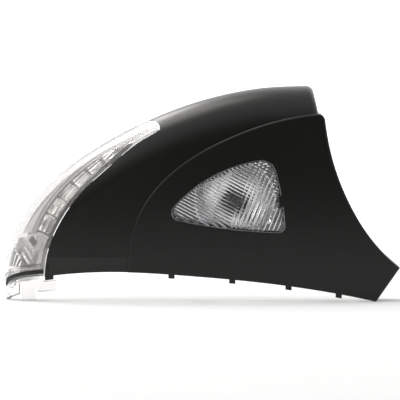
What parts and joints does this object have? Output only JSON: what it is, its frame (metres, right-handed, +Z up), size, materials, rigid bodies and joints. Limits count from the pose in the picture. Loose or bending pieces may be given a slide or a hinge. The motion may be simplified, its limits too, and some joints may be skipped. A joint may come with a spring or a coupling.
{
  "type": "door mirror signal lamp",
  "caption": "Curved black lower shell of a car door mirror with a clear wrap-around signal lamp along its outer edge and a flush courtesy lamp in its face.",
  "frame": {"origin": "middle of the footprint box at the height of the lowest edge", "axes": "+X along the length towards the pivot end, +Y from the outer face back into the mirror head, +Z up"},
  "size_m": [0.2398, 0.0459, 0.129],
  "materials": {
    "shell_plastic": "fine grained black moulding, satin",
    "clear_lens": "clear polished polycarbonate",
    "seal_rubber": "soft black rubber",
    "mask_plastic": "dark satin moulding",
    "guide_clear": "clear acrylic light guide",
    "silvered": "vacuum-metallised plastic",
    "grey_plastic": "dark grey moulding",
    "board": "coated circuit board",
    "led": "encapsulated diode",
    "screw_steel": "zinc-plated steel",
    "contact": "tinned contact metal",
    "bulb_glass": "clear bulb glass"
  },
  "bodies": {
    "root": {"housing_shell": "shell_plastic", "signal_lens": "clear_lens", "lens_end_seal": "seal_rubber", "signal_mask": "mask_plastic", "light_guide": "guide_clear", "signal_reflector": "silvered", "end_reflector": "silvered", "signal_board": "board", "signal_leds": "led", "signal_back_housing": "grey_plastic", "socket_pins": "contact", "lamp_screws": "screw_steel", "puddle_screws": "screw_steel", "puddle_lens": "clear_lens", "puddle_lens_seal": "seal_rubber", "puddle_reflector": "silvered", "puddle_lamp_body": "grey_plastic", "bulb_holder": "grey_plastic", "holder_ring": "seal_rubber", "bulb": "bulb_glass", "holder_blades": "contact"}
  },
  "joints": []
}
